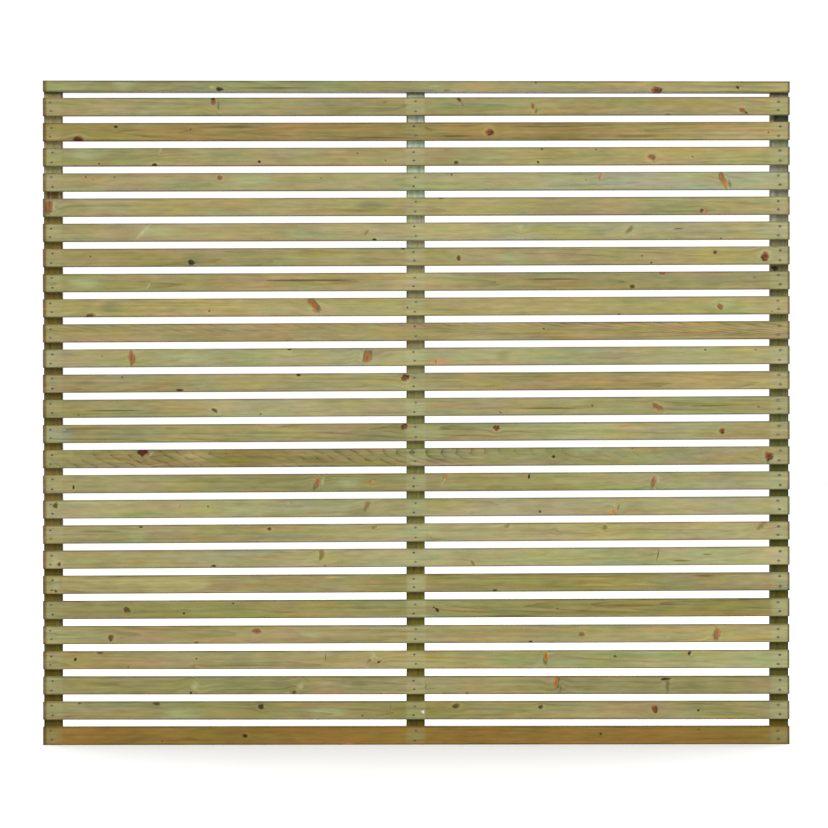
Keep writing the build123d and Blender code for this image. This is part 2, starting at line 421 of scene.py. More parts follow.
class Board:
    """A straight piece of timber: its name, place, directions and size, its edges' wear and its light."""

    def __init__(self, name, start, along, upright, length, width, depth, upper_wear, lower_wear, light):
        self.name = name
        self.start = start
        self.along = along.normalized()
        self.across = (upright - self.along * upright.dot(self.along)).normalized()
        self.out = self.along.cross(self.across)
        self.length = length
        self.width = width
        self.depth = depth
        self.upper_wear = upper_wear
        self.lower_wear = lower_wear
        self.light = light

    def local(self, place):
        """How far a place is along the board, across it and out from its middle."""
        offset = place - self.start
        return offset.dot(self.along), offset.dot(self.across), offset.dot(self.out)


def side_points(start, end, spacing):
    """Points from one corner of a section to the next, both ends included."""
    steps = max(1, round(math.dist(start, end) / spacing))
    return [tuple(point) for point in np.linspace(start, end, steps + 1)]


def section_outline(board, front_radius, back_radius, back_steps):
    """Points (across, out) round a board's section: up the front, over, down the back and under."""
    half_width = board.width / 2
    half_depth = board.depth / 2
    front_edge = half_depth - front_radius
    back_edge = back_radius - half_depth
    front_reach = half_width - front_radius
    back_reach = half_width - back_radius
    corners = [
        (front_reach, front_edge, front_radius, rounding_steps),
        (back_reach, back_edge, back_radius, back_steps),
        (-back_reach, back_edge, back_radius, back_steps),
        (-front_reach, front_edge, front_radius, rounding_steps),
    ]
    spacings = [front_line_spacing] + 3 * [other_line_spacing]
    arcs = []
    for quarter, (across, out, radius, steps) in enumerate(corners):
        arc = []
        for step in range(steps + 1):
            turn = math.radians(90) * (quarter + step / steps)
            arc.append((across + radius * math.sin(turn), out + radius * math.cos(turn)))
        arcs.append(arc)
    points = []
    for quarter, arc in enumerate(arcs):
        side_start = arcs[quarter - 1][-1]
        points += side_points(side_start, arc[0], spacings[quarter])[:-1]
        points += arc[:-1]
    return np.array(points)


def spaced(values, least):
    """Sorted values, leaving out any that come closer than the least spacing to the one before."""
    kept = []
    for value in sorted(values):
        if not kept or value - kept[-1] >= least:
            kept.append(value)
    return kept


def ring_places(board, dents, marks, cuts):
    """Places along a board where its section is repeated: close together at dents and marks only."""
    places = list(np.arange(ring_spacing_along, board.length - ring_spacing_along / 2, ring_spacing_along))
    for along, _, size in dents:
        reach = dent_half_width * size * dent_ring_reach
        places += list(np.arange(along - reach, along + reach, dent_line_spacing))
    for mark in marks:
        reach = max(mark.half_length * abs(math.cos(mark.tilt)), mark.half_height * abs(math.sin(mark.tilt)))
        places += [mark.along + share * reach for share in mark_ring_shares]
    near_start = [0, end_rounding, left_end_wear / 2, left_end_wear]
    near_end = [0, end_rounding, right_end_wear / 2, right_end_wear]
    fixed = near_start + [board.length - place for place in near_end] + list(cuts)
    inside = []
    for place in spaced(places, least_ring_spacing):
        clear = min(abs(place - other) for other in fixed)
        if left_end_wear < place < board.length - right_end_wear and clear >= least_ring_spacing:
            inside.append(place)
    return np.array(sorted(fixed + inside))


# A knot or a streak on a board: an oval with its place, half sizes, tilt, linear colour and strength
Mark = namedtuple("Mark", "along across half_length half_height tilt colour strength")


def knot_marks(knots):
    """Knots of a look as marks, each varied a little in size and tilt so that no two are alike."""
    marks = []
    for along, across, kind, *own_shape in knots:
        *kind_shape, colour, rim = knot_kinds[kind]
        half_length, half_height, tilt = own_shape or kind_shape
        size_turn = along * knot_size_turn_along + across * knot_size_turn_across
        size = (1 + knot_size_change * math.sin(size_turn)) * millimetre
        lean = math.radians(tilt + knot_tilt_change * math.sin(along * knot_tilt_turn))
        place = (along * millimetre, across * millimetre)
        marks.append(Mark(*place, half_length * size, half_height * size, lean, linear(colour), rim))
    return marks


def streak_marks(streaks):
    """Streaks of a look as marks, long thin ovals in line with the grain."""
    marks = []
    for start, end, across, kind in streaks:
        half_height, colour, strength = streak_kinds[kind]
        half_length = (end - start) / 2 * millimetre
        middle = (start + end) / 2 * millimetre
        place = (middle, across * millimetre)
        marks.append(Mark(*place, half_length, half_height * millimetre, 0, linear(colour), strength))
    return marks


def oval_places(marks, along, across):
    """For faces with the given corners, the corners' places on the nearest mark's oval, and that mark."""
    if not marks:
        nowhere = np.full(along.shape, far_from_marks)
        return nowhere, nowhere, np.zeros(len(along), int)
    choices = []
    for mark in marks:
        cosine = math.cos(mark.tilt)
        sine = math.sin(mark.tilt)
        offset_along = along - mark.along
        offset_across = across - mark.across
        u = (offset_along * cosine + offset_across * sine) / mark.half_length
        v = (offset_across * cosine - offset_along * sine) / mark.half_height
        choices.append((u, v))
    distances = [np.hypot(u.mean(axis=1), v.mean(axis=1)) for u, v in choices]
    nearest = np.argmin(distances, axis=0)
    faces = np.arange(len(along))
    u = np.array([choice[0] for choice in choices])[nearest, faces]
    v = np.array([choice[1] for choice in choices])[nearest, faces]
    return u, v, nearest


def add_attribute(mesh, name, kind, domain, values):
    """Gives a mesh a named value at each of its points or face corners."""
    attribute = mesh.attributes.new(name, kind, domain)
    field = {"FLOAT": "value", "FLOAT_VECTOR": "vector", "FLOAT_COLOR": "color"}[kind]
    attribute.data.foreach_set(field, np.ascontiguousarray(values, dtype=np.float32).ravel())


def add_marks(mesh, name, marks, face_groups, along, across):
    """Gives a mesh's corners their places on the nearest mark's oval, and that mark's colour and strength."""
    heights = np.array([mark.half_height for mark in marks] or [1.0])
    colours = np.array([mark.colour + (mark.strength,) for mark in marks] or [(0, 0, 0, 0)])
    places = []
    shades = []
    for faces in face_groups:
        u, v, nearest = oval_places(marks, along[faces], across[faces])
        chosen = np.repeat(nearest, faces.shape[1])
        places.append(np.stack([u.ravel(), v.ravel(), heights[chosen]], axis=1))
        shades.append(colours[chosen])
    add_attribute(mesh, name + "_place", "FLOAT_VECTOR", "CORNER", np.concatenate(places))
    add_attribute(mesh, name + "_colour", "FLOAT_COLOR", "CORNER", np.concatenate(shades))


def tone_along(board, look_tones, grain, along):
    """Colour of the tones at each place along a board, with the strength of the grain as its alpha."""
    strengths = grain_kinds[grain][0]
    share = along / board.length
    strength = np.interp(share, np.linspace(0, 1, len(strengths)), strengths)
    stops = [[channel / board.light for channel in linear(tones[tone])] for tone in look_tones.split()]
    if len(stops) == 1:
        stops = stops * 2
    places = np.linspace(tone_margin, 1 - tone_margin, len(stops))
    channels = [np.interp(share, places, [stop[channel] for stop in stops]) for channel in range(3)]
    return np.stack(channels + [strength], axis=1)


def log_places(board, grain, number, along, across, out):
    """Where each point lay in the log that the board was sawn from, with the log's pith as the axis."""
    pith_depth, pith_height, run_out = grain_kinds[grain][1:4]
    turn = number * board_turn
    height = (pith_height + pith_height_change * math.sin(turn)) * millimetre
    depth = pith_depth * (1 + pith_depth_change * math.cos(pith_depth_turn * turn)) * millimetre
    drift = run_out * millimetre * (along - board.length / 2)
    own_stretch = along + log_spacing * number
    return np.stack([own_stretch, across - height, out + depth + drift], axis=1)


def edge_wear(board, across, out):
    """How worn each point is by its nearness to a long edge."""
    from_edge = np.hypot(board.width / 2 - np.abs(across), board.depth / 2 - np.abs(out))
    wear = np.where(across > 0, board.upper_wear, board.lower_wear)
    return np.clip(wear * (1 - (from_edge - end_rounding) / edge_wear_reach), 0, 1)


def end_wear(board, along):
    """How worn each point is by its nearness to an end: fully over the nearer half of the reach."""
    from_end = np.minimum(along / left_end_wear, (board.length - along) / right_end_wear)
    return np.clip(2 * (1 - from_end), 0, 1)


def dent_shape(along, across, dents):
    """How far each point of a front face is pressed in by the nails' dents, and how dark it is painted there:
    rust stain round a dent, rust stain and painted shade inside it.
    """
    pressed = np.zeros(len(along))
    stain_and_dent_shade = np.zeros(len(along))
    for dent_along, dent_across, size in dents:
        u = (along - dent_along) / (dent_half_width * size)
        v = (across - dent_across) / (dent_half_height * size)
        distance = np.hypot(u, v)
        wall = np.clip((1 - distance) * dent_steepness, 0, 1)
        pressed = np.maximum(pressed, dent_depth * wall * wall * (3 - 2 * wall))
        faded = (stain_and_shade_reach - distance) / (stain_and_shade_reach - full_stain_and_shade_reach)
        stain_and_dent_shade = np.maximum(stain_and_dent_shade, np.clip(faded, 0, 1))
    return pressed, stain_and_dent_shade


def add_bake_map(mesh, board, outline, girth, rows, places, sides, ends, along, across, out):
    """Lays a long board out for baking, cut into rows one above the other, with its two ends over them."""
    row_share = bake_rows_share / rows
    point_count = len(outline)
    ring = sides[:, 0] // point_count
    point = sides[:, 0] % point_count
    row = np.floor((places[ring] + places[ring + 1]) / 2 / board.length * rows)
    corner_along = along[sides] / board.length * rows - row[:, None]
    near = girth[point]
    far = girth[point + 1]
    corner_girth = np.stack([near, near, far, far], axis=1) / girth[-1]
    row_margin = bake_margin * rows
    u = bake_margin + corner_along * (1 - 2 * bake_margin)
    v = (row[:, None] + row_margin + corner_girth * (1 - 2 * row_margin)) * row_share
    parts = [np.stack([u.ravel(), v.ravel()], axis=1)]
    for side, end in enumerate(ends):
        end_u = end_map_left + end_map_step * side + end_map_width * (across[end[0]] / board.width + 0.5)
        end_v = end_map_foot + end_map_height * (out[end[0]] / board.depth + 0.5)
        parts.append(np.stack([end_u, end_v], axis=1))
    bake_map = mesh.uv_layers.new(name="OFBake")
    bake_map.uv.foreach_set("vector", np.concatenate(parts).astype(np.float32).ravel())


def crossing_values(along, crossings):
    """How far each point is from the middle of the nearest batten behind, and how pale it is there."""
    if not crossings:
        return np.full(len(along), far_from_crossing), np.zeros(len(along))
    distances = [np.abs(along - place) for place, _ in crossings]
    nearest = np.argmin(distances, axis=0)
    return np.min(distances, axis=0), np.array([pale for _, pale in crossings])[nearest]


def add_object(name, data):
    """Puts a mesh, a light or a camera into the scene."""
    added = bpy.data.objects.new(name, data)
    bpy.context.scene.collection.objects.link(added)
    return added


def build_board(board, look, outline, dents, crossings, number, material):
    """Makes a board's mesh with all that its material reads: place in the log, tone, marks, wear, nail stains
    with painted dent shade.
    """
    look_tones, grain, knots, streaks = look
    knot_list = knot_marks(knots)
    streak_list = streak_marks(streaks)
    steps_round = np.hypot(*np.diff(np.vstack([outline, outline[:1]]), axis=0).T)
    girth = np.concatenate([[0], np.cumsum(steps_round)])
    rows = max(1, round(math.sqrt(board.length / girth[-1])))
    cuts = [board.length * row / rows for row in range(1, rows)]
    crossing_places = [place for place, _ in crossings]
    cuts += crossing_places
    cuts += [(first + second) / 2 for first, second in zip(crossing_places, crossing_places[1:])]
    places = ring_places(board, dents, knot_list + streak_list, spaced(cuts, least_ring_spacing))
    ring_count = len(places)
    point_count = len(outline)

    # Points, with the ends drawn in a little and the front pressed in at the dents
    from_end = np.minimum(places, board.length - places)
    inset = end_rounding * np.clip(1 - from_end / end_rounding, 0, 1)
    along = np.repeat(places, point_count)
    across = ((1 - inset / (board.width / 2))[:, None] * outline[None, :, 0]).ravel()
    out = ((1 - inset / (board.depth / 2))[:, None] * outline[None, :, 1]).ravel()
    on_front = np.tile(outline[:, 1] > board.depth / 2 - front_tolerance, ring_count)
    pressed, stain_and_dent_shade = dent_shape(along, across, dents)
    pressed = np.where(on_front, pressed, 0)
    stain_and_dent_shade = np.where(on_front, stain_and_dent_shade, 0)
    axes = np.array([board.along, board.across, board.out])
    points = np.array(board.start) + np.stack([along, across, out - pressed], axis=1) @ axes

    # Faces between neighbouring rings, then the two ends
    first = np.arange(ring_count * point_count).reshape(ring_count, point_count)
    second = np.roll(first, -1, axis=1)
    sides = np.stack([first[:-1], first[1:], second[1:], second[:-1]], axis=2).reshape(-1, 4)
    ends = [first[:1], first[-1:, ::-1]]
    mesh = bpy.data.meshes.new(board.name + "_timber")
    mesh.from_pydata(points.tolist(), [], sides.tolist() + ends[0].tolist() + ends[1].tolist())
    smooth = np.tile(steps_round < widest_smooth_step, ring_count - 1)
    mesh.polygons.foreach_set("use_smooth", np.concatenate([smooth, [False, False]]))

    # What the material reads
    from_crossing, paleness = crossing_values(along, crossings)
    log_place = log_places(board, grain, number, along, across, out)
    add_attribute(mesh, "log_place", "FLOAT_VECTOR", "POINT", log_place)
    add_attribute(mesh, "tone", "FLOAT_COLOR", "POINT", tone_along(board, look_tones, grain, along))
    point_values = {
        "ring_width": np.full(len(along), grain_kinds[grain][-1] * millimetre),
        "edge_wear": edge_wear(board, across, out),
        "end_wear": end_wear(board, along),
        "right_half": along > board.length / 2,
        "from_crossing": from_crossing,
        "paleness": paleness,
        "stain_and_dent_shade": stain_and_dent_shade,
    }
    for name, values in point_values.items():
        add_attribute(mesh, name, "FLOAT", "POINT", values)
    add_marks(mesh, "knot", knot_list, [sides] + ends, along, across)
    add_marks(mesh, "streak", streak_list, [sides] + ends, along, across)
    add_bake_map(mesh, board, outline, girth, rows, places, sides, ends, along, across, out)

    mesh.materials.append(material)
    piece = add_object(board.name + "_timber", mesh)
    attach(piece, "root")
    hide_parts(board.name)


# Materials

class Graph:
    """A material whose nodes are added one by one. Each method gives back the new node's output."""

    def __init__(self, name):
        self.material = bpy.data.materials.new(name)
        self.material.use_nodes = True
        self.tree = self.material.node_tree
        self.shader = self.tree.nodes["Principled BSDF"]

    def node(self, kind, **settings):
        node = self.tree.nodes.new(kind)
        for setting, value in settings.items():
            setattr(node, setting, value)
        return node

    def join(self, value, socket):
        """Links an output to a socket, or sets the socket to a plain value."""
        if isinstance(value, bpy.types.NodeSocket):
            self.tree.links.new(value, socket)
        else:
            socket.default_value = value

    def attribute(self, name, output):
        return self.node("ShaderNodeAttribute", attribute_name=name).outputs[output]

    def math(self, operation, first, second=0.0):
        node = self.node("ShaderNodeMath", operation=operation)
        self.join(first, node.inputs[0])
        self.join(second, node.inputs[1])
        return node.outputs[0]

    def add(self, first, second):
        return self.math("ADD", first, second)

    def times(self, first, second):
        return self.math("MULTIPLY", first, second)

    def vector(self, operation, first, second):
        node = self.node("ShaderNodeVectorMath", operation=operation)
        self.join(first, node.inputs[0])
        self.join(second, node.inputs["Scale"] if operation == "SCALE" else node.inputs[1])
        return node.outputs[0]

    def parts(self, vector):
        node = self.node("ShaderNodeSeparateXYZ")
        self.join(vector, node.inputs[0])
        return node.outputs

    def whole(self, x, y, z):
        node = self.node("ShaderNodeCombineXYZ")
        for value, socket in zip((x, y, z), node.inputs):
            self.join(value, socket)
        return node.outputs[0]

    def length(self, x, y):
        return self.math("SQRT", self.add(self.times(x, x), self.times(y, y)))

    def noise(self, place, name):
        """A noise by its name, from 0 to 1."""
        along, across, detail = noises[name]
        node = self.node("ShaderNodeTexNoise")
        self.join(self.vector("MULTIPLY", place, (along, across, across)), node.inputs["Vector"])
        node.inputs["Scale"].default_value = 1.0
        node.inputs["Detail"].default_value = detail
        return node.outputs["Fac"]

    def swing(self, place, name):
        """A noise by its name, from -0.5 to 0.5."""
        return self.add(self.noise(place, name), -0.5)

    def object_place(self):
        return self.node("ShaderNodeTexCoord").outputs["Object"]

    def roughen(self, noise, least, change):
        """Sets the roughness, which grows from the least by the change as the noise goes from 0 to 1."""
        self.join(self.add(self.times(noise, change), least), self.shader.inputs["Roughness"])

    def ramp(self, value, start, end):
        """A smooth step from 0 where the value is at the start to 1 where it is at the end."""
        node = self.node("ShaderNodeMapRange", interpolation_type="SMOOTHSTEP")
        self.join(value, node.inputs["Value"])
        self.join(start, node.inputs["From Min"])
        self.join(end, node.inputs["From Max"])
        return node.outputs["Result"]

    def mix(self, share, first, second, blend="MIX"):
        """Mixes two colours, which are inputs 6 and 7 and output 2 of a mix node."""
        node = self.node("ShaderNodeMix", data_type="RGBA", blend_type=blend)
        self.join(share, node.inputs[0])
        self.join(first, node.inputs[6])
        self.join(second, node.inputs[7])
        return node.outputs[2]


def rgba(colour):
    return linear(colour) + (1.0,)


# Noises: frequencies along the grain and across it, and how much finer detail they carry.
# Frequencies are per metre, and in a knot per half size of the knot.
noises = {
    "ragged": (0.8, 0.8, 3.0),
    "fleck": (1.5, 4.5, 2.0),
    "wobble": (1.6, 14, 2.0),
    "ripple": (2.5, 70, 2.0),
    "band": (0.9, 60, 2.0),
    "streak": (1.5, 150, 3.0),
    "fibre": (16, 950, 2.0),
    "mottle": (24, 120, 3.0),
    "slow": (6, 9, 2.0),
    "fine_warmth": (6, 60, 3.0),
    "broad_warmth": (7, 10, 2.0),
    "fine_treatment": (7, 55, 3.0),
    "broad_treatment": (4, 6, 2.0),
    "brown": (1.3, 110, 3.0),
    "blur": (60, 40, 2.0),
    "edge": (9, 60, 2.0),
    "end": (60, 60, 2.0),
    "nail_dirt": (1500, 1500, 3.0),
    "chip_fibre": (90, 900, 2.0),
    "floor_mottle": (1.5, 1.5, 3.0),
}

# Rings: how many rings the wobbles shift them by, how sharp their dark side is, and the noise where they show
wobble_rings = 3.9
ripple_rings = 0.9
late_wood_sharpness = 5.0
band_range = (0.36, 0.66)

# Brightness of the wood: how much each part of the figure changes it, and what they change
streak_contrast = 0.75
ring_contrast = 0.46
fibre_contrast = 0.38
mottle_contrast = 0.60
slow_contrast = 0.46
plain_brightness = 1.03

# Colour of the wood: how much the fine and broad noises count, their middle, and what they do to each channel
fine_tint = 1.7
broad_tint = 0.6
middle_tint = 1.15
red_by_warmth = 0.33
green_by_warmth = -0.10
blue_by_treatment = 0.62
brown_range = (0.52, 0.80)

# Streaks: how ragged they are, where they end and how far in they fade, in half sizes, and their top share
streak_raggedness = 1.6
streak_end = 1.1
streak_fade = 0.8
greatest_streak_share = 0.8

# Paler wood at the battens: how ragged its edge is, and where it starts and is full, from the batten's middle
crossing_blur = 8 * millimetre
crossing_end = 26.8 * millimetre
crossing_full = 19.5 * millimetre

# Wear: the range of noise over which edges and ends go from sound to worn
edge_wear_range = (0.05, 0.65)
end_wear_range = (0.0, 0.5)

# Knots, with distances in half sizes of the knot.
# A knot's outline varies, and its dark side turns, with its place along the log.
knot_variety = 23.0
knot_raggedness = 1.9
knot_bend = 0.85
knot_bend_falloff = 0.16
knot_turn = 61.0
halo_range = (2.4, 1.0)
halo_side = (0.6, -0.8)
firm_range = (-0.1, 0.5)
core_end = 1.2
soft_core = 0.1
firm_core_gain = 0.5
soft_core_share = 0.6
firm_core_share_gain = 0.35
core_raggedness = 0.9
core_brightness = 1.06
heart_squeeze_along = 1.1
heart_squeeze_across = 1.5
heart_raggedness = 1.3
heart_range = (0.8, 0.2)
rim_distance = 0.92
rim_range = (0.5, 0.05)
rim_side = (-0.4, 0.6)
rim_side_raggedness = 2.2

# Surface of the wood
fibre_roughness = 0.25
ring_smoothness = 0.12
wood_sheen = 0.06
relief_strength = 0.5
fibre_relief_share = 0.6
knot_relief_share = 0.7
fibre_relief = 0.35 * millimetre

# Tones and tints of the wood's marks
crossing_tone = rgba((170, 169, 127))
rim_tone = rgba((50, 32, 14))
# Dark of the nails' rust stains, which inside the dents is also painted shade
stain_and_shade_tone = rgba((30, 26, 18))
brown_tint = (0.88, 0.76, 0.58, 1.0)
edge_tint = (0.42, 0.40, 0.38, 1.0)
left_end_tint = (0.51, 0.37, 0.31, 1.0)
right_end_tint = (0.50, 0.45, 0.38, 1.0)
halo_tint = (1.08, 1.20, 1.20, 1.0)
heart_tint = (0.36, 0.24, 0.20, 1.0)


def tint_noise(g, bent, log, name):
    """A fine noise that follows the grain and a broad one that doesn't, taken together."""
    fine = g.times(g.noise(bent, "fine_" + name), fine_tint)
    broad = g.times(g.noise(log, "broad_" + name), broad_tint)
    return g.add(g.add(fine, broad), -middle_tint)


# A place on the nearest knot: its two directions, how far it lies on the knot's dark side, the noises that
# make the knot ragged and flecked, and its ragged distance from the knot's middle
Knot = namedtuple("Knot", "u v leeward ragged fleck distance")


def knot_place(g, log):
    """Where a place lies on the nearest knot, and where in the log, with the grain pushed aside."""
    u, v, height = g.parts(g.attribute("knot_place", "Vector"))
    along_log = g.parts(log)[0]
    field = g.whole(u, v, g.times(along_log, knot_variety))
    ragged = g.swing(field, "ragged")
    fleck = g.swing(field, "fleck")
    facing = g.times(along_log, knot_turn)
    leeward = g.add(g.times(u, g.math("SINE", facing)), g.times(v, g.math("COSINE", facing)))
    plain_distance = g.length(u, v)
    distance = g.add(plain_distance, g.times(ragged, knot_raggedness))
    nearness = g.math("EXPONENT", g.times(g.times(plain_distance, plain_distance), -knot_bend_falloff))
    shift = g.times(g.times(g.times(v, height), nearness), -knot_bend)
    bent = g.vector("ADD", log, g.whole(0.0, shift, 0.0))
    return Knot(u, v, leeward, ragged, fleck, distance), bent


def wood_figure(g, log, bent, grain):
    """Lines of the yearly rings, streaks and fibres, and the brightness that they and slow changes give."""
    _, from_pith_up, from_pith_out = g.parts(bent)
    ring_width = g.attribute("ring_width", "Fac")
    wobble = g.times(g.noise(bent, "wobble"), wobble_rings)
    ripple = g.times(g.noise(bent, "ripple"), ripple_rings)
    ring_count = g.math("DIVIDE", g.length(from_pith_up, from_pith_out), ring_width)
    rings = g.math("FRACT", g.add(ring_count, g.add(wobble, ripple)))
    late = g.math("POWER", rings, late_wood_sharpness)
    lines = g.times(late, g.ramp(g.noise(bent, "band"), *band_range))
    streak = g.swing(bent, "streak")
    fibre = g.swing(bent, "fibre")
    mottle = g.swing(bent, "mottle")
    slow = g.swing(log, "slow")
    figure = g.add(g.times(streak, streak_contrast), g.times(lines, -ring_contrast))
    uneven = g.add(g.times(mottle, mottle_contrast), g.times(slow, slow_contrast))
    fine_figure = g.add(g.times(figure, grain), g.times(fibre, fibre_contrast))
    value = g.add(fine_figure, g.add(uneven, plain_brightness))
    return lines, streak, fibre, value


def uneven_colour(g, log, bent, grain, colour):
    """Makes wood warmer where it is resinous, greener or greyer where it took up more treatment."""
    warmth = tint_noise(g, bent, log, "warmth")
    treatment = tint_noise(g, bent, log, "treatment")
    red_share = g.add(g.times(warmth, red_by_warmth), 1.0)
    green_share = g.add(g.times(warmth, green_by_warmth), 1.0)
    blue_share = g.add(g.times(treatment, blue_by_treatment), 1.0)
    colour = g.vector("MULTIPLY", colour, g.whole(red_share, green_share, blue_share))
    brown = g.times(g.ramp(g.noise(bent, "brown"), *brown_range), grain)
    return g.mix(brown, colour, brown_tint, "MULTIPLY")


def laid_on_streaks(g, streak, value, colour):
    """Lays on the listed streaks, the strongest with harder edges."""
    u, v, _ = g.parts(g.attribute("streak_place", "Vector"))
    strength = g.attribute("streak_colour", "Alpha")
    softness = g.math("MINIMUM", g.math("DIVIDE", 1.0, strength), 1.0)
    distance = g.add(g.length(u, v), g.times(g.times(streak, streak_raggedness), softness))
    full = g.add(g.times(softness, -streak_fade), streak_end)
    share = g.times(g.ramp(distance, streak_end, full), g.math("MINIMUM", strength, greatest_streak_share))
    return g.mix(share, colour, g.vector("SCALE", g.attribute("streak_colour", "Color"), value))


def paler_crossings(g, log, value, colour):
    """Makes wood paler and greyer where a batten lies behind."""
    blur = g.times(g.swing(log, "blur"), crossing_blur)
    distance = g.add(g.attribute("from_crossing", "Fac"), blur)
    share = g.times(g.ramp(distance, crossing_end, crossing_full), g.attribute("paleness", "Fac"))
    return g.mix(share, colour, g.vector("SCALE", crossing_tone[:3], value))


def worn_edges(g, log, colour):
    """Darkens worn long edges and ends."""
    edge_worn = g.times(g.attribute("edge_wear", "Fac"), g.ramp(g.noise(log, "edge"), *edge_wear_range))
    colour = g.mix(edge_worn, colour, edge_tint, "MULTIPLY")
    end_worn = g.times(g.attribute("end_wear", "Fac"), g.ramp(g.noise(log, "end"), *end_wear_range))
    end_tint = g.mix(g.attribute("right_half", "Fac"), left_end_tint, right_end_tint)
    return g.mix(end_worn, colour, end_tint, "MULTIPLY")


def knot_colours(g, knot, colour):
    """Draws a knot with a pale halo, a flecked body, a darker heart and a broken dark rim on one side."""
    strength = g.attribute("knot_colour", "Alpha")
    halo = g.times(g.ramp(knot.distance, *halo_range), g.ramp(knot.leeward, *halo_side))
    colour = g.mix(g.times(halo, strength), colour, halo_tint, "MULTIPLY")
    firmness = g.ramp(strength, *firm_range)
    core = g.ramp(knot.distance, core_end, g.add(g.times(firmness, firm_core_gain), soft_core))
    shade = g.add(g.add(g.times(knot.ragged, core_raggedness), knot.fleck), core_brightness)
    core_colour = g.vector("SCALE", g.attribute("knot_colour", "Color"), shade)
    squeezed = g.length(g.times(knot.u, heart_squeeze_along), g.times(knot.v, heart_squeeze_across))
    heart = g.ramp(g.add(squeezed, g.times(knot.ragged, heart_raggedness)), *heart_range)
    core_colour = g.mix(g.times(heart, strength), core_colour, heart_tint, "MULTIPLY")
    core_share = g.add(g.times(firmness, firm_core_share_gain), soft_core_share)
    colour = g.mix(g.times(core, core_share), colour, core_colour)
    rim = g.ramp(g.math("ABSOLUTE", g.add(knot.distance, -rim_distance)), *rim_range)
    shaded = g.ramp(g.add(knot.leeward, g.times(knot.ragged, rim_side_raggedness)), *rim_side)
    return g.mix(g.times(g.times(rim, shaded), strength), colour, rim_tone), core


def wood_material(name, roughness):
    """Planed softwood: yearly rings round the pith, fibres, treatment, knots, worn edges, and nail stains
    with painted shade in the dents.
    """
    g = Graph(name)
    log = g.attribute("log_place", "Vector")
    grain = g.attribute("tone", "Alpha")
    knot, bent = knot_place(g, log)
    lines, streak, fibre, value = wood_figure(g, log, bent, grain)

    # Colour, ending with the dark rust stain round the nails' dents and the painted shade inside them
    colour = g.vector("SCALE", g.attribute("tone", "Color"), value)
    colour = uneven_colour(g, log, bent, grain, colour)
    colour = laid_on_streaks(g, streak, value, colour)
    colour = paler_crossings(g, log, value, colour)
    colour = worn_edges(g, log, colour)
    colour, core = knot_colours(g, knot, colour)
    stain_and_dent_shade = g.attribute("stain_and_dent_shade", "Fac")
    colour = g.mix(g.times(stain_and_dent_shade, stain_and_dent_shade), colour, stain_and_shade_tone)
    g.join(colour, g.shader.inputs["Base Color"])

    # Sheen and relief
    smoothed = g.add(g.times(lines, -ring_smoothness), roughness)
    g.join(g.add(g.times(fibre, fibre_roughness), smoothed), g.shader.inputs["Roughness"])
    g.shader.inputs["Specular IOR Level"].default_value = wood_sheen
    bump = g.node("ShaderNodeBump")
    bump.inputs["Strength"].default_value = relief_strength
    bump.inputs["Distance"].default_value = fibre_relief
    height = g.add(g.add(g.times(fibre, fibre_relief_share), lines), g.times(core, knot_relief_share))
    g.join(height, bump.inputs["Height"])
    g.join(bump.outputs["Normal"], g.shader.inputs["Normal"])
    return g.material


def nail_material(name):
    """Galvanised steel nails, some still bright and most darkened by rust and dirt; the brightest carry
    painted glints.
    """
    g = Graph(name)
    dirt = g.noise(g.object_place(), "nail_dirt")
    dark = g.mix(dirt, rgba((36, 32, 26)), rgba((78, 62, 46)))
    bright = g.mix(dirt, rgba((150, 148, 156)), rgba((206, 204, 212)))
    colour = g.mix(g.attribute("brightness", "Fac"), dark, bright)
    g.join(colour, g.shader.inputs["Base Color"])
    g.roughen(dirt, least=0.3, change=0.3)
    g.shader.inputs["Metallic"].default_value = 0.6
    return g.material


def chip_material(name):
    """Freshly torn wood, almost white, with faint fibres."""
    g = Graph(name)
    fibre = g.noise(g.object_place(), "chip_fibre")
    g.join(g.mix(fibre, rgba((214, 204, 200)), rgba((244, 236, 236))), g.shader.inputs["Base Color"])
    g.roughen(fibre, least=0.6, change=0.2)
    return g.material


def floor_material(name):
    """Plain pale studio floor with the faintest mottling."""
    g = Graph(name)
    mottle = g.noise(g.object_place(), "floor_mottle")
    darker = (0.55, 0.55, 0.55, 1.0)
    paler = (0.57, 0.57, 0.57, 1.0)
    g.join(g.mix(mottle, darker, paler), g.shader.inputs["Base Color"])
    g.roughen(mottle, least=0.8, change=0.1)
    return g.material


# Nails

def grouped(values, gap):
    """Row numbers of values that lie together, as lists, from the lowest group up."""
    order = np.argsort(values)
    breaks = np.nonzero(np.diff(values[order]) > gap)[0] + 1
    return np.split(order, breaks)


def node_points(name):
    return np.array([vertex.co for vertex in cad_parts[name].data.vertices])


def brad_heads(name, axis, direction, spread_axis):
    """Middles of the brads' head ends in a node of the frame, from the lowest up along the spread axis."""
    points = node_points(name)
    depth = points[:, axis] * direction
    ends = points[depth > depth.max() - head_tolerance]
    groups = grouped(ends[:, spread_axis], least_nail_spacing)
    return [Vector(ends[group].mean(axis=0)) for group in groups]


def oval_ring(half_width, half_height, depth):
    """Points of an oval ring, with the nail's axis as the third direction."""
    ring = []
    for segment in range(head_segments):
        turn = 2 * math.pi * segment / head_segments
        ring.append((half_width * math.cos(turn), half_height * math.sin(turn), depth))
    return ring


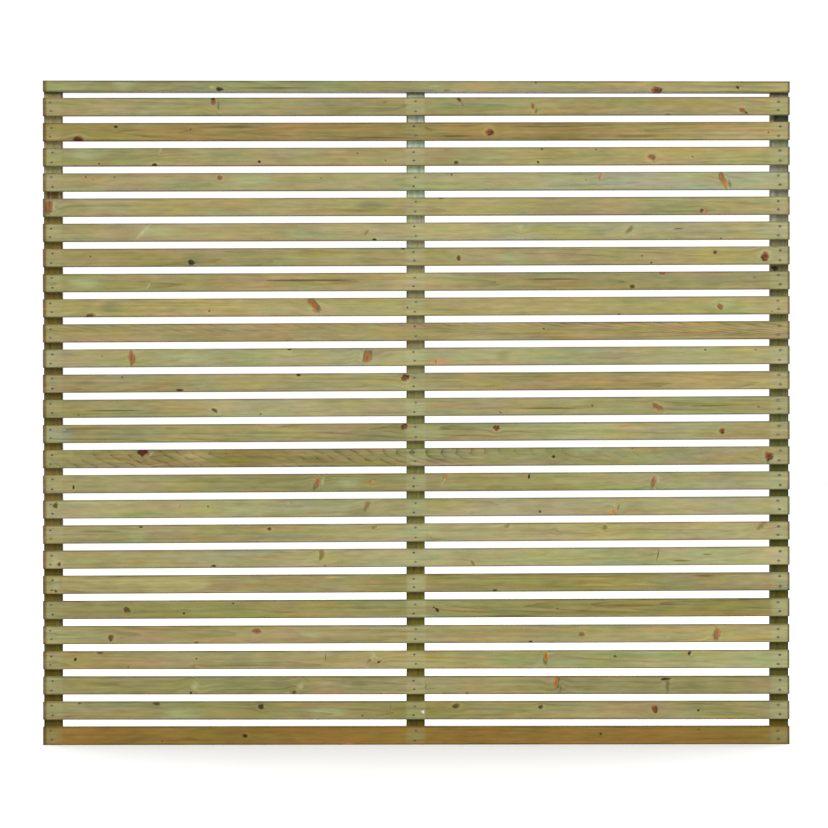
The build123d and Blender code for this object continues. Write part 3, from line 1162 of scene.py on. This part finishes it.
def nail_shape(length, shank_width, shank_height):
    """Points and faces of one nail, its head's top at depth 0: a domed oval head over a flat-wire shank."""
    points = []
    for share, depth in head_profile:
        points += oval_ring(head_half_width * share, head_half_height * share, depth * head_thickness)
    faces = [list(range(head_segments))]
    for ring in range(len(head_profile) - 1):
        for segment in range(head_segments):
            following = (segment + 1) % head_segments
            upper = ring * head_segments
            lower = upper + head_segments
            faces.append([upper + segment, lower + segment, lower + following, upper + following])
    faces.append(list(range(len(points) - head_segments, len(points)))[::-1])
    top = -head_thickness * shank_top_share
    base = len(points)
    for depth in (top, -length):
        for x, y in ((-1, -1), (1, -1), (1, 1), (-1, 1)):
            points.append((x * shank_width / 2, y * shank_height / 2, depth))
    box = [(0, 1, 2, 3), (7, 6, 5, 4), (0, 4, 5, 1), (1, 5, 6, 2), (2, 6, 7, 3), (3, 7, 4, 0)]
    faces += [[base + corner for corner in side] for side in box]
    return np.array(points), faces


def build_nails(node, heads, side_axis, out_axis, length, brightness, material):
    """Makes one piece of all the nails of a node, each sunk below the face it was driven into."""
    axes = np.array([side_axis, out_axis.cross(side_axis), out_axis])
    shape, shape_faces = nail_shape(length - head_sink, brad_width, brad_height)
    points = []
    faces = []
    shine = []
    for head, bright in zip(heads, brightness):
        base = len(points)
        points += (np.array(head - out_axis * head_sink) + shape @ axes).tolist()
        faces += [[base + corner for corner in face] for face in shape_faces]
        shine += [bright] * len(shape)
    mesh = bpy.data.meshes.new(node + "_nails")
    mesh.from_pydata(points, [], faces)
    add_attribute(mesh, "brightness", "FLOAT", "POINT", shine)
    mesh.materials.append(material)
    piece = add_object(node + "_nails", mesh)
    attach(piece, "root")
    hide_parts(node)


# Nails of the frame: their lengths and the places of their heads
sides = ("left", "centre", "right")
brad_length = float(np.ptp(node_points("slat_brads_left")[:, 1]))
cap_brad_length = float(np.ptp(node_points("cap_brads")[:, 2]))
heads = {}
for side in sides:
    heads[side] = brad_heads("slat_brads_" + side, axis=1, direction=-1, spread_axis=2)
cap_heads = brad_heads("cap_brads", axis=2, direction=1, spread_axis=0)

# Materials of the timber and of the nails
slat_wood = wood_material("slat_softwood", roughness=0.60)
cap_wood = wood_material("cap_softwood", roughness=0.62)
batten_wood = wood_material("batten_softwood", roughness=0.55)
nail_steel = nail_material("galvanised_nail")

# Slats, each along its own sloping middle line
batten_middles = {}
for side in sides:
    low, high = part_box("batten_" + side)
    batten_middles[side] = (low + high) / 2

for number, look in enumerate(slat_looks, start=1):
    name = f"slat_{number:02d}"
    points = node_points(name)
    low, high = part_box(name)
    left_end = points[points[:, 0] < low.x + millimetre]
    right_end = points[points[:, 0] > high.x - millimetre]
    middle_depth = (low.y + high.y) / 2
    start = Vector((low.x, middle_depth, (left_end[:, 2].min() + left_end[:, 2].max()) / 2))
    end = Vector((high.x, middle_depth, (right_end[:, 2].min() + right_end[:, 2].max()) / 2))
    slat_height = float(np.ptp(left_end[:, 2]))
    size = ((end - start).length, slat_height, high.y - low.y)
    board = Board(name, start, end - start, upward, *size, upper_wear=1.3, lower_wear=0.45, light=1.0)
    dents = []
    for side in sides:
        for head in heads[side]:
            along, across, _ = board.local(head)
            if abs(across) < slat_height / 2:
                dents.append((along, across, dent_sizes[side]))
    crossing_share = faint_crossing_share if number in faint_crossing_slats else 1.0
    crossings = []
    for side in sides:
        crossing_place = board.local(batten_middles[side])[0]
        crossings.append((crossing_place, crossing_paleness[side] * crossing_share))
    outline = section_outline(board, slat_edge_radius, slat_back_bevel, back_steps=1)
    build_board(board, look, outline, dents, crossings, number, slat_wood)

# Pale chip of torn wood, stuck flat on the face of a low slat beside the middle batten's nails
chip_tip = 909 * millimetre
chip_base = 918 * millimetre
chip_middle = -3.4 * millimetre
chip_half_height = 5 * millimetre
chip_thickness = 0.6 * millimetre
chip_sink = chip_thickness / 3
low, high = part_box("slat_25")
chip_corners = [(chip_tip, 0), (chip_base, -chip_half_height), (chip_base, chip_half_height)]
chip_points = []
for depth in (low.y - chip_thickness, low.y + chip_sink):
    for along, across in chip_corners:
        chip_points.append((low.x + along, depth, (low.z + high.z) / 2 + chip_middle + across))
chip_mesh = bpy.data.meshes.new("slat_chip")
chip_mesh.from_pydata(chip_points, [], [(0, 1, 2), (5, 4, 3), (0, 3, 4, 1), (1, 4, 5, 2), (2, 5, 3, 0)])
chip_mesh.materials.append(chip_material("pale_chip"))
chip = add_object("slat_chip", chip_mesh)
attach(chip, "root")

# Cap rail, lying along the top with its edge to the front
low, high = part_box("cap_rail")
middle = (low + high) / 2
cap_start = Vector((low.x, middle.y, middle.z))
size = (high.x - low.x, high.z - low.z, high.y - low.y)
cap = Board("cap_rail", cap_start, right, upward, *size, upper_wear=4.0, lower_wear=0.3, light=1.0)
outline = section_outline(cap, cap_edge_radius, cap_edge_radius, rounding_steps)
cap_number = len(slat_looks) + 1
build_board(cap, cap_look, outline, [], [], cap_number, cap_wood)

# Battens, standing with their faces to the slats
for number, side in enumerate(sides, start=cap_number + 1):
    low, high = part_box("batten_" + side)
    middle = (low + high) / 2
    foot = Vector((middle.x, middle.y, low.z))
    size = (high.z - low.z, high.x - low.x, high.y - low.y)
    place = (foot, upward, -right)
    batten = Board("batten_" + side, *place, *size, upper_wear=1.0, lower_wear=1.0, light=gap_light)
    outline = section_outline(batten, batten_edge_radius, batten_edge_radius, rounding_steps)
    build_board(batten, batten_looks[side], outline, [], [], number, batten_wood)

# Nails, with those of the right batten painted brighter as glints of sky light, most of all about half way up
batten_top = high.z
for side in sides:
    brightness = []
    for index, head in enumerate(heads[side]):
        height_share = head.z / batten_top
        bright = nail_brightness + nail_difference * math.sin(index * nail_turn)
        if side == "right":
            in_glint_band = midway_glint_from < height_share < midway_glint_to
            bright += midway_glint if in_glint_band else right_nails_glint
        brightness.append(bright)
    build_nails("slat_brads_" + side, heads[side], right, forward, brad_length, brightness, nail_steel)
brightness = [cap_nail_brightness] * len(cap_heads)
build_nails("cap_brads", cap_heads, right, upward, cap_brad_length, brightness, nail_steel)

# Stage: a pale floor, a bright, even sky, a large soft light above and in front, one over the floor behind
floor_reach = 60.0
floor_mesh = bpy.data.meshes.new("studio_floor")
floor_corners = [(x * floor_reach, y * floor_reach, 0) for x, y in ((-1, -1), (1, -1), (1, 1), (-1, 1))]
floor_mesh.from_pydata(floor_corners, [], [(0, 1, 2, 3)])
floor_mesh.materials.append(floor_material("studio_floor"))
floor = add_object("studio_floor", floor_mesh)

sky_strength = 1.05
sky = bpy.data.worlds.new("studio_sky")
sky.use_nodes = True
background = sky.node_tree.nodes["Background"]
background.inputs["Color"].default_value = (1.0, 1.0, 1.0, 1.0)
background.inputs["Strength"].default_value = sky_strength
bpy.context.scene.world = sky

key_place = Vector((-2.0, -8.0, 7.24))
key_target = Vector((0.0, 0.0, 0.8))
key = bpy.data.lights.new("soft_key", "SUN")
key.angle = math.radians(40)
key.energy = 4.0
key_object = add_object("soft_key", key)
key_object.location = key_place
key_object.rotation_euler = (key_target - key_place).to_track_quat("-Z", "Y").to_euler()

backdrop_place = Vector((0.0, 2.4, 4.0))
backdrop = bpy.data.lights.new("backdrop_light", "AREA")
backdrop.shape = "RECTANGLE"
backdrop.size = 7.0
backdrop.size_y = 4.0
backdrop.energy = 300.0
backdrop_object = add_object("backdrop_light", backdrop)
backdrop_object.location = backdrop_place

# Camera, fitted to the panel's edges in the photograph, which is 828 pixels wide
camera_place = Vector((-0.098, -8.0, 0.826))
camera_turn = math.radians(-0.656)
camera_nod = math.radians(-0.207)
photo_width = 828
focal_pixels = 3310.8
sensor_width = 36.0
camera = bpy.data.cameras.new("photo_camera")
camera.sensor_width = sensor_width
camera.lens = sensor_width * focal_pixels / photo_width
camera.clip_end = 300.0
camera_object = add_object("photo_camera", camera)
camera_object.location = camera_place
camera_object.rotation_euler = (math.radians(90) + camera_nod, 0.0, camera_turn)
bpy.context.scene.camera = camera_object
bpy.context.scene.view_settings.view_transform = "Standard"
